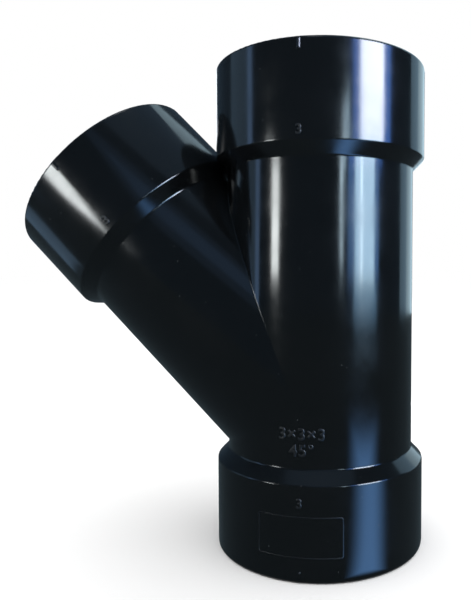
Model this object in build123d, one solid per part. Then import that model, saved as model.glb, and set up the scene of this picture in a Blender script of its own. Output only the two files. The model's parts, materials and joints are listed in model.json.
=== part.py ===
"""Lateral wye fitting: a one-piece moulded drain fitting with three pipe sockets.

A straight run stands on +Z, and a branch leaves it at an angle in the XZ plane, towards -X.
Each of the three arms ends in a hub: a thicker barrel, joined to the body by a short taper,
with a pipe socket inside. The origin is the centre of the lower hub's mouth, so the fitting
stands on z = 0. All sizes are in millimetres.
"""

from build123d import *
from math import radians, tan
import os

# Pipe and waterway
PIPE_OD = 88.9              # nominal 3 in drain pipe
BORE_DIAMETER = 77.9        # waterway through the body
BODY_WALL = 5.5             # wall round the waterway

# Socket, the seat for the pipe end
SOCKET_DEPTH = 38.1         # from the mouth to the pipe stop
SOCKET_CLEARANCE = 0.28     # on diameter, pipe to socket
MOUTH_CHAMFER = 1.2         # lead-in at the mouth
STOP_EDGE_ROUND = 0.6       # rounded inner edge of the pipe stop

# Hub, the thick barrel round the socket
HUB_WALL = 5.05
HUB_BEYOND_STOP = 3.0       # straight part of the hub past the pipe stop
HUB_TAPER_ANGLE = 45.0      # of the step from hub to body, from the axis
RIM_ROUND = 0.9             # outer edge of the mouth
HUB_CORNER_ROUND = 0.7      # outer corner where the hub turns into its taper
TAPER_FOOT_ROUND = 1.0      # inner corner where the taper meets the body

# Layout, from the crossing point of the two axes to each pipe stop
BRANCH_ANGLE = 45.0
LOWER_LAY_LENGTH = 28.6
UPPER_LAY_LENGTH = 119.0
BRANCH_LAY_LENGTH = 119.0

# Alignment mark, a half-round rib at each mouth, front and back
MARK_WIDTH = 1.2
MARK_HEIGHT = 0.45
MARK_LENGTH = 4.0
MARK_SETBACK = 0.9          # from the mouth

# Parting line, the fine ridge where the two mould halves met
PARTING_WIDTH = 0.5
PARTING_HEIGHT = 0.1

# Worked out from the sizes above
body_radius = BORE_DIAMETER / 2 + BODY_WALL
bore_radius = BORE_DIAMETER / 2
socket_radius = (PIPE_OD + SOCKET_CLEARANCE) / 2
hub_radius = socket_radius + HUB_WALL
hub_length = SOCKET_DEPTH + HUB_BEYOND_STOP
taper_length = (hub_radius - body_radius) / tan(radians(HUB_TAPER_ANGLE))
crossing_height = SOCKET_DEPTH + LOWER_LAY_LENGTH


def arm_frames():
    """The three arms, as (frame at the axis crossing with local +Z outwards, length to the mouth)."""
    crossing = Location((0, 0, crossing_height))
    return [
        (crossing * Rot(180, 0, 0), LOWER_LAY_LENGTH + SOCKET_DEPTH),
        (crossing, UPPER_LAY_LENGTH + SOCKET_DEPTH),
        (crossing * Rot(0, -BRANCH_ANGLE, 0), BRANCH_LAY_LENGTH + SOCKET_DEPTH),
    ]


def turned(outline):
    """The solid made by turning a closed outline in the XZ plane once about Z."""
    return revolve(Plane.XZ * outline, Axis.Z)


def arm_outside(length, growth=0.0):
    """Outer form of one arm: body, taper and hub, from the axis crossing to the mouth."""
    body = body_radius + growth
    hub = hub_radius + growth
    corner = length - hub_length
    foot = corner - taper_length
    outline = Polyline(
        (0, 0), (body, 0), (body, foot), (hub, corner), (hub, length), (0, length), close=True
    )
    face = make_face(outline)
    rounds = [((body, foot), TAPER_FOOT_ROUND), ((hub, corner), HUB_CORNER_ROUND), ((hub, length), RIM_ROUND)]
    for place, radius in rounds:
        face = fillet(face.vertices().sort_by_distance((*place, 0))[0], radius)
    return turned(face)


def arm_inside(length):
    """Hollow of one arm: waterway, pipe stop, socket and lead-in, from crossing to mouth."""
    stop = length - SOCKET_DEPTH
    outline = Polyline(
        (0, 0),
        (bore_radius, 0),
        (bore_radius, stop),
        (socket_radius, stop),
        (socket_radius, length - MOUTH_CHAMFER),
        (socket_radius + MOUTH_CHAMFER, length),
        (0, length),
        close=True,
    )
    face = make_face(outline)
    face = fillet(face.vertices().sort_by_distance((bore_radius, stop, 0))[0], STOP_EDGE_ROUND)
    return turned(face)


def alignment_mark(length, side):
    """Half-round rib at the mouth of an arm, on the side that faces -Y (side -1) or +Y (side 1)."""
    radius = (MARK_WIDTH**2 / 4 + MARK_HEIGHT**2) / (2 * MARK_HEIGHT)
    rod = Cylinder(radius, MARK_LENGTH)
    centre = length - MARK_SETBACK - MARK_LENGTH / 2
    return Pos(0, side * (hub_radius + MARK_HEIGHT - radius), centre) * rod


def parting_ridge(length):
    """The ridge along both sides of an arm, in the plane where the mould halves met."""
    across_arm = 3 * hub_radius
    slab = Pos(0, 0, length / 2) * Box(across_arm, PARTING_WIDTH, length - 2 * RIM_ROUND)
    return arm_outside(length, PARTING_HEIGHT) & slab


def wye_fitting():
    """The whole moulding, one solid."""
    outside = Part() + [frame * arm_outside(length) for frame, length in arm_frames()]
    for frame, length in arm_frames():
        outside += frame * parting_ridge(length)
        outside += [frame * alignment_mark(length, side) for side in (-1, 1)]
    inside = Part() + [frame * arm_inside(length) for frame, length in arm_frames()]
    return outside - inside


os.makedirs("parts", exist_ok=True)
export_step(wye_fitting(), "parts/wye_fitting.step")
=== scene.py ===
"""Looks of the lateral wye fitting: black ABS moulding, its raised size numbers, and a small studio."""

import json
from math import cos, pi, radians, sin

import bpy
from mathutils import Matrix, Vector


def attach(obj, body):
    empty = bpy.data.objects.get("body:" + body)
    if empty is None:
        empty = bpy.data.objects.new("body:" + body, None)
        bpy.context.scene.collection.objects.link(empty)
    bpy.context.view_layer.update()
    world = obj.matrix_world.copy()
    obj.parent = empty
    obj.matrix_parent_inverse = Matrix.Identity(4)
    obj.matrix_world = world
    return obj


MM = 0.001

# Camera: where it stands round the run's axis, and how it is turned from facing that axis
CAMERA_AZIMUTH = radians(10.0)
CAMERA_DISTANCE = 284.2 * MM
CAMERA_HEIGHT = 127.5 * MM
CAMERA_PAN = radians(0.92)
CAMERA_TILT = radians(-2.33)
CAMERA_LENS = 34.77
CAMERA_SHIFT = -0.125

# Sizes of the moulding that the numbers and the insert mark sit on
BODY_RADIUS = 44.45 * MM
HUB_RADIUS = 49.64 * MM

# Raised numbers: height of the relief, and how far their centres stand in from where each
# socket's straight wall starts
RELIEF = 0.35 * MM
LETTER_EDGE = 0.2 * MM
HUB_NUMBER_SIZE = 4.0 * MM
HUB_NUMBER_SETBACKS = {"run_outlet": 32.3 * MM, "run_inlet": 36.0 * MM, "branch_inlet": 35.5 * MM}
BODY_NUMBER_SIZE = 5.0 * MM
BODY_NUMBER_HEIGHTS = (61.0 * MM, 54.0 * MM)

# Mark of the mould insert on the lower hub
INSERT_WIDTH = 37.0 * MM
INSERT_HEIGHT = 17.0 * MM
INSERT_CENTRE = 19.5 * MM
INSERT_LINE = 0.6 * MM
INSERT_RELIEF = 0.09 * MM
INSERT_CORNER = 1.0 * MM
CORNER_SECTIONS = 6
EDGE_SECTIONS = 24

# Section of that ridge, as shares of its width and relief, from under the skin over the crest
RIDGE_PROFILE = (
    (-0.5, -0.5), (-0.5, 0.0), (-0.2, 0.85), (0.0, 1.0), (0.2, 0.85), (0.5, 0.0), (0.5, -0.5),
)

FRONT = Vector((0, -1, 0))


def linear(hex_colour):
    """An sRGB hex colour as linear RGBA."""
    parts = [int(hex_colour[i:i + 2], 16) / 255 for i in (1, 3, 5)]
    return (*[p / 12.92 if p <= 0.04045 else ((p + 0.055) / 1.055) ** 2.4 for p in parts], 1.0)


def add_node(tree, kind, settings=(), **inputs):
    """A node with its settings, its inputs given by name as values or as sockets to link."""
    node = tree.nodes.new(kind)
    for name, value in dict(settings).items():
        setattr(node, name, value)
    for name, value in inputs.items():
        socket = node.inputs[int(name[1:])] if name[0] == "_" else node.inputs[name.replace("_", " ")]
        if isinstance(value, bpy.types.NodeSocket):
            tree.links.new(value, socket)
        else:
            socket.default_value = value
    return node


def new_material(name):
    """An empty material, its node tree and its output node."""
    material = bpy.data.materials.new(name)
    material.use_nodes = True
    tree = material.node_tree
    tree.nodes.clear()
    return material, tree, tree.nodes.new("ShaderNodeOutputMaterial")


# ---------------------------------------------------------------- materials

def black_abs(name, smoothest, roughest):
    """Black ABS, injection moulded: a deep, slightly blue black under a skin as smooth as its mould.

    The skin is a little wavy where it shrank, so reflections have soft edges, and it carries
    faint handling smears and a few specks of dust.
    """
    smear_size, wave_size, grain_size = 28 * MM, 14 * MM, 0.6 * MM
    speck_spacing, speck_radius = 6 * MM, 0.14 * MM
    wave_height, grain_height = 0.02 * MM, 0.0012 * MM
    edge_round = 0.7 * MM

    material, tree, output = new_material(name)
    place = add_node(tree, "ShaderNodeTexCoord").outputs["Object"]
    smears = add_node(
        tree, "ShaderNodeTexNoise", Vector=place, Scale=1 / smear_size, Detail=4.0, Roughness=0.6,
    )
    waves = add_node(tree, "ShaderNodeTexNoise", Vector=place, Scale=1 / wave_size, Detail=1.0)
    grain = add_node(tree, "ShaderNodeTexNoise", Vector=place, Scale=1 / grain_size, Detail=2.0)
    specks = add_node(tree, "ShaderNodeTexVoronoi", Vector=place, Scale=1 / speck_spacing)
    speck = add_node(
        tree, "ShaderNodeMapRange", _0=specks.outputs["Distance"],
        _1=speck_radius / speck_spacing, _2=1.6 * speck_radius / speck_spacing, _3=1.0, _4=0.0,
    ).outputs["Result"]

    skin = add_node(
        tree, "ShaderNodeMix", {"data_type": "RGBA"},
        _0=smears.outputs["Fac"], _6=linear("#07090a"), _7=linear("#0a0c0e"),
    ).outputs[2]
    colour = add_node(
        tree, "ShaderNodeMix", {"data_type": "RGBA"}, _0=speck, _6=skin, _7=linear("#4a5053"),
    ).outputs[2]
    roughness = add_node(
        tree, "ShaderNodeMapRange",
        _0=smears.outputs["Fac"], _1=0.3, _2=0.7, _3=smoothest, _4=roughest,
    ).outputs["Result"]
    edges = add_node(tree, "ShaderNodeBevel", {"samples": 6}, Radius=edge_round)
    wavy = add_node(
        tree, "ShaderNodeBump", Height=waves.outputs["Fac"], Distance=wave_height,
        Normal=edges.outputs["Normal"],
    )
    skin_normal = add_node(
        tree, "ShaderNodeBump", Height=grain.outputs["Fac"], Distance=grain_height,
        Normal=wavy.outputs["Normal"],
    )
    shader = add_node(
        tree, "ShaderNodeBsdfPrincipled", Base_Color=colour, Roughness=roughness, IOR=1.54,
        Normal=skin_normal.outputs["Normal"],
    )
    tree.links.new(shader.outputs["BSDF"], output.inputs["Surface"])
    return material


def matte_paper(name, colour):
    """Matte background paper: an even tone with no shine."""
    material, tree, output = new_material(name)
    shader = add_node(tree, "ShaderNodeBsdfDiffuse", Color=linear(colour))
    tree.links.new(shader.outputs["BSDF"], output.inputs["Surface"])
    return material


def lit_card(name, radiance):
    """A card under even light, which only the fitting's shine shows."""
    material, tree, output = new_material(name)
    shader = add_node(tree, "ShaderNodeEmission", Color=(*radiance, 1.0), Strength=1.0)
    tree.links.new(shader.outputs["Emission"], output.inputs["Surface"])
    return material


# ---------------------------------------------------------------- raised marks

def wrapped(point, centre, up, radius):
    """A point of a flat mark (x across, y up, z proud) laid on the front of a cylinder."""
    side = up.cross(FRONT)
    turn = point.x / radius
    return centre + up * point.y + (radius + point.z) * (side * sin(turn) + FRONT * cos(turn))


def wrap_mesh(name, mesh, centre, up, radius, material):
    """A piece made from a flat mark's mesh, laid on a cylinder and moulded with the body."""
    for vertex in mesh.vertices:
        vertex.co = wrapped(vertex.co, centre, up, radius)
    mesh.materials.clear()
    mesh.materials.append(material)
    mesh.shade_smooth()
    mesh.set_sharp_from_angle(angle=radians(50))
    piece = bpy.data.objects.new(name, mesh)
    bpy.context.collection.objects.link(piece)
    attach(piece, "root")
    return piece


def raised_number(name, words, size, centre, up, radius, material):
    """Plain raised numbers on the front of an arm."""
    curve = bpy.data.curves.new(name, "FONT")
    curve.body = words
    curve.size = size / 0.7
    curve.align_x, curve.align_y = "CENTER", "CENTER"
    curve.space_character = 1.1
    curve.extrude = RELIEF - LETTER_EDGE
    curve.bevel_depth = LETTER_EDGE
    curve.bevel_resolution = 3
    letters = bpy.data.objects.new(name + "_outline", curve)
    bpy.context.collection.objects.link(letters)
    mesh = bpy.data.meshes.new_from_object(letters.evaluated_get(bpy.context.evaluated_depsgraph_get()))
    bpy.data.objects.remove(letters)
    bpy.data.curves.remove(curve)
    return wrap_mesh(name, mesh, centre, up, radius, material)


def insert_outline():
    """Middle line of the insert's mark, a rounded oblong, as places and their outward directions."""
    half_width = INSERT_WIDTH / 2 - INSERT_CORNER
    half_height = INSERT_HEIGHT / 2 - INSERT_CORNER
    path = []
    for quarter, (side, end) in enumerate(((1, 1), (-1, 1), (-1, -1), (1, -1))):
        corner = Vector((side * half_width, end * half_height, 0))
        for step in range(CORNER_SECTIONS + 1):
            turn = (quarter + step / CORNER_SECTIONS) * pi / 2
            outwards = Vector((cos(turn), sin(turn), 0))
            path.append((corner, outwards))
        # The two edges that run round the hub need places along them to follow its curve
        if side == end:
            for step in range(1, EDGE_SECTIONS):
                along = -side * 2 * half_width * step / EDGE_SECTIONS
                path.append((corner + Vector((along, 0, 0)), outwards))
    return path


def insert_mark(centre, up, radius, material):
    """The fine ridge that a separate mould insert left round a bare oblong."""
    path = insert_outline()
    points = [
        corner
        + outwards * (INSERT_CORNER + across * INSERT_LINE)
        + Vector((0, 0, proud * INSERT_RELIEF))
        for corner, outwards in path
        for across, proud in RIDGE_PROFILE
    ]
    count, rows = len(RIDGE_PROFILE), len(path)
    faces = [
        (
            row * count + k,
            (row + 1) % rows * count + k,
            (row + 1) % rows * count + (k + 1) % count,
            row * count + (k + 1) % count,
        )
        for row in range(rows)
        for k in range(count)
    ]
    mesh = bpy.data.meshes.new("insert_mark")
    mesh.from_pydata([tuple(p) for p in points], [], faces)
    mesh.update()
    return wrap_mesh("insert_mark", mesh, centre, up, radius, material)


def moulded_marks(record, material):
    """Numbers near each hub's foot and low on the body, and the insert's mark on the lower hub."""
    up = Vector((0, 0, 1))
    mouths = {m["name"]: (Vector(m["pos_m"]), Vector(m["axis"])) for m in record["mounts"]}
    for name, (mouth, axis) in mouths.items():
        reading_up = axis if axis.z > 0 else -axis
        raised_number(
            "size_number_" + name, "3", HUB_NUMBER_SIZE, mouth - axis * HUB_NUMBER_SETBACKS[name],
            reading_up, HUB_RADIUS, material,
        )
    foot = Vector((0, 0, 0))
    sizes_height, angle_height = BODY_NUMBER_HEIGHTS
    body_numbers = (("body_sizes", "3×3×3", sizes_height), ("body_angle", "45°", angle_height))
    for name, words, height in body_numbers:
        raised_number(name, words, BODY_NUMBER_SIZE, foot + up * height, up, BODY_RADIUS, material)
    insert_mark(foot + up * INSERT_CENTRE, up, HUB_RADIUS, material)


# ---------------------------------------------------------------- studio
# Directions are azimuths in degrees, from the front (-Y) towards +X, seen from the run's axis.
# Lights and cards are given by their radiance, where 1 is white.

STUDIO_RADIUS = 1.54
OVERHEAD_POWER = 30
ROOM_TONE = (0.045, 0.075, 0.11)
TABLE_TONE = (0.06, 0.085, 0.10)


def on_ring(azimuth, radius, height):
    """A place in a direction from the run's axis."""
    return Vector((radius * sin(radians(azimuth)), -radius * cos(radians(azimuth)), height))


def stage_mesh(name, points, faces, material):
    """A studio piece, which isn't part of the fitting."""
    mesh = bpy.data.meshes.new(name)
    mesh.from_pydata([tuple(p) for p in points], [], faces)
    mesh.materials.append(material)
    piece = bpy.data.objects.new(name, mesh)
    bpy.context.collection.objects.link(piece)
    return piece


def floor():
    """White paper floor that the fitting stands on."""
    reach = 20.0
    corners = [(-reach, -reach, 0), (reach, -reach, 0), (reach, reach, 0), (-reach, reach, 0)]
    stage_mesh("floor", corners, [(0, 1, 2, 3)], matte_paper("white_paper", "#ffffff"))


def white_surroundings():
    """An even white world all round."""
    world = bpy.data.worlds.new("surroundings")
    bpy.context.scene.world = world
    world.use_nodes = True
    tree = world.node_tree
    tree.nodes.clear()
    background = add_node(tree, "ShaderNodeBackground", Color=linear("#ffffff"), Strength=1.0)
    output = add_node(tree, "ShaderNodeOutputWorld")
    tree.links.new(background.outputs["Background"], output.inputs["Surface"])


def shine_only(piece):
    """Keep a studio piece out of sight, so that only the fitting's shine shows it."""
    piece.visible_camera = piece.visible_diffuse = piece.visible_transmission = piece.visible_shadow = False


def card(name, start, end, inner, outer, radiance):
    """A card swept round the fitting between two azimuths, from an inner to an outer (radius, height)."""
    steps = max(2, round(abs(end - start) / 5))
    points = [
        on_ring(start + (end - start) * step / steps, radius, height)
        for step in range(steps + 1) for radius, height in (inner, outer)
    ]
    faces = [(2 * k, 2 * k + 2, 2 * k + 3, 2 * k + 1) for k in range(steps)]
    shine_only(stage_mesh(name, points, faces, lit_card(name + "_tone", radiance)))


def table_glint(name, feet, directions, near, far, height, radiance):
    """A pale patch on the table, fanning out from two places on the hub in two directions."""
    corners = []
    for foot, direction in zip(feet, directions):
        start = on_ring(foot, HUB_RADIUS, height)
        corners.append([start + on_ring(direction, reach, 0) for reach in (near, far)])
    points = [corners[0][0], corners[0][1], corners[1][1], corners[1][0]]
    shine_only(stage_mesh(name, points, [(0, 1, 2, 3)], lit_card(name + "_tone", radiance)))


def softbox(name, azimuth, width, low, high, radiance, radius=STUDIO_RADIUS):
    """An upright softbox that faces the run's axis, from its low to its high edge."""
    height = high - low
    strength = max(radiance)
    lamp = bpy.data.lights.new(name, "AREA")
    lamp.shape = "RECTANGLE"
    lamp.size, lamp.size_y = width, height
    lamp.energy = strength * pi * width * height
    lamp.color = [part / strength for part in radiance]
    light = bpy.data.objects.new(name, lamp)
    bpy.context.collection.objects.link(light)
    outwards = on_ring(azimuth, 1, 0)
    up = Vector((0, 0, 1))
    facing = Matrix((up.cross(outwards), up, outwards)).transposed().to_4x4()
    light.matrix_world = Matrix.Translation(on_ring(azimuth, radius, (low + high) / 2)) @ facing
    light.visible_diffuse = False
    return light


def dark_room():
    """Dim cards all round, on the table and overhead, with a bright window behind on the right."""
    wall, top, table = 1.75, 3.2, 0.8 * MM      # radius, height, and height above the floor
    card("dark_wall", -184, 122, (wall, -0.02), (wall, top), ROOM_TONE)
    card("right_window_side", 122, 140, (wall, -0.02), (wall, top), (0.5, 0.8, 1.05))
    card("right_window", 140, 176, (wall, -0.02), (wall, top), (0.9, 1.25, 1.45))
    card("ceiling", 0, 360, (0.0, top), (wall, top), (0.14, 0.22, 0.32))
    card("table_top", 0, 360, (0.0, table), (wall, table), TABLE_TONE)
    # The blue glint fades towards its edges: each wider patch is dimmer and lies under the last
    steps = 9
    for step in range(steps):
        spread = 2.6 * step - 6
        share = (1 + cos(pi * (step + 0.5) / steps)) / 2
        table_glint(
            f"blue_table_glint_{step}", (28 - spread / 2, 40 + spread / 2), (57 - spread, 75 + spread),
            0.0, (170 + 8 * spread) * MM, 2 * table + 0.3 * MM * (steps - step),
            [0.06 + share * 0.95, 0.085 + share * 2.2, 0.10 + share * 4.6],
        )
    card("left_table_glint", -96, -80, (0.44, 2 * table), (0.8, 2 * table), (0.34, 0.55, 0.8))


def softboxes():
    """Upright lights on both sides and behind, which draw the long streaks down the arms."""
    softbox("left_key", -42.4, 0.25, 0.13, 0.48, (17, 18, 18))
    softbox("left_edge", -67.7, 0.17, 0.00, 1.10, (0.65, 1.1, 1.9))
    softbox("left_fill", -84.6, 0.75, 0.03, 1.10, (0.2, 0.32, 0.45))
    softbox("right_key_top", 65.5, 0.75, 0.52, 1.20, (20, 20.5, 21))
    softbox("right_key_middle", 64.0, 0.70, 0.10, 0.52, (7, 10, 11.5))
    softbox("right_thin_top", 38.5, 0.075, 0.44, 0.66, (7, 10, 12))
    softbox("right_line", 59.5, 0.045, 0.12, 0.50, (15, 17, 18), radius=1.52)
    softbox("right_key_foot", 65.0, 0.85, 0.00, 0.10, (1.2, 2.5, 4.0))
    softbox("right_blue_top", 66.0, 1.42, 0.50, 1.20, (0.55, 1.8, 6.0), radius=1.62)
    softbox("right_blue_middle", 63.0, 1.20, 0.12, 0.50, (0.75, 1.8, 4.0), radius=1.62)
    softbox("right_thin", 34.9, 0.085, 0.16, 0.62, (9, 12, 14))
    softbox("front_blue", 15.0, 1.00, 1.20, 1.70, (0.08, 0.15, 0.28))
    softbox("front_blue_glow", 15.0, 1.60, 1.00, 2.10, (0.06, 0.10, 0.17), radius=1.62)
    softbox("back_left", -150.0, 0.35, 0.10, 1.00, (2, 2.1, 2.2))


def overhead_light():
    """A broad, even light straight above, which whitens the floor and stays out of the shine."""
    lamp = bpy.data.lights.new("overhead", "AREA")
    lamp.shape = "SQUARE"
    lamp.size = 3.0
    lamp.energy = OVERHEAD_POWER
    light = bpy.data.objects.new("overhead", lamp)
    bpy.context.collection.objects.link(light)
    light.location = (0, 0, 2.4)
    light.visible_glossy = False


def skylight():
    """A small round light overhead that only the shine shows."""
    card("skylight", 0, 360, (0.0, 2.3), (0.3, 2.3), (3.0, 3.1, 3.2))


def studio():
    """Floor, lights and dark surroundings."""
    floor()
    overhead_light()
    skylight()
    white_surroundings()
    dark_room()
    softboxes()


def camera():
    """The camera, facing the run from just right of the front."""
    lens = bpy.data.cameras.new("camera")
    lens.lens = CAMERA_LENS
    lens.shift_x = CAMERA_SHIFT
    viewpoint = bpy.data.objects.new("camera", lens)
    bpy.context.collection.objects.link(viewpoint)
    place = Vector((
        CAMERA_DISTANCE * sin(CAMERA_AZIMUTH), -CAMERA_DISTANCE * cos(CAMERA_AZIMUTH), CAMERA_HEIGHT,
    ))
    viewpoint.matrix_world = (
        Matrix.Translation(place)
        @ Matrix.Rotation(CAMERA_AZIMUTH + CAMERA_PAN, 4, "Z")
        @ Matrix.Rotation(pi / 2 + CAMERA_TILT, 4, "X")
    )
    bpy.context.scene.camera = viewpoint


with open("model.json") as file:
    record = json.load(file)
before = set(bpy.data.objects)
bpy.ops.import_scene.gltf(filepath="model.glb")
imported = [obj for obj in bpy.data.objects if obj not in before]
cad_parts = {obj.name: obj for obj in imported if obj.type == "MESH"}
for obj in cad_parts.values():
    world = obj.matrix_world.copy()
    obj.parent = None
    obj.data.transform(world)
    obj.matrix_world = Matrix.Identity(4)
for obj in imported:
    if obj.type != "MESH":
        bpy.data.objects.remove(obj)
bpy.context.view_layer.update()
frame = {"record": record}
bpy.context.scene.view_settings.view_transform = "Standard"

abs_skin = black_abs("polished_black_abs", smoothest=0.08, roughest=0.19)
letter_skin = black_abs("spark_eroded_black_abs", smoothest=0.38, roughest=0.46)
for place in bpy.data.objects["wye_fitting"].material_slots:
    place.material = abs_skin
moulded_marks(frame["record"], letter_skin)
studio()
camera()
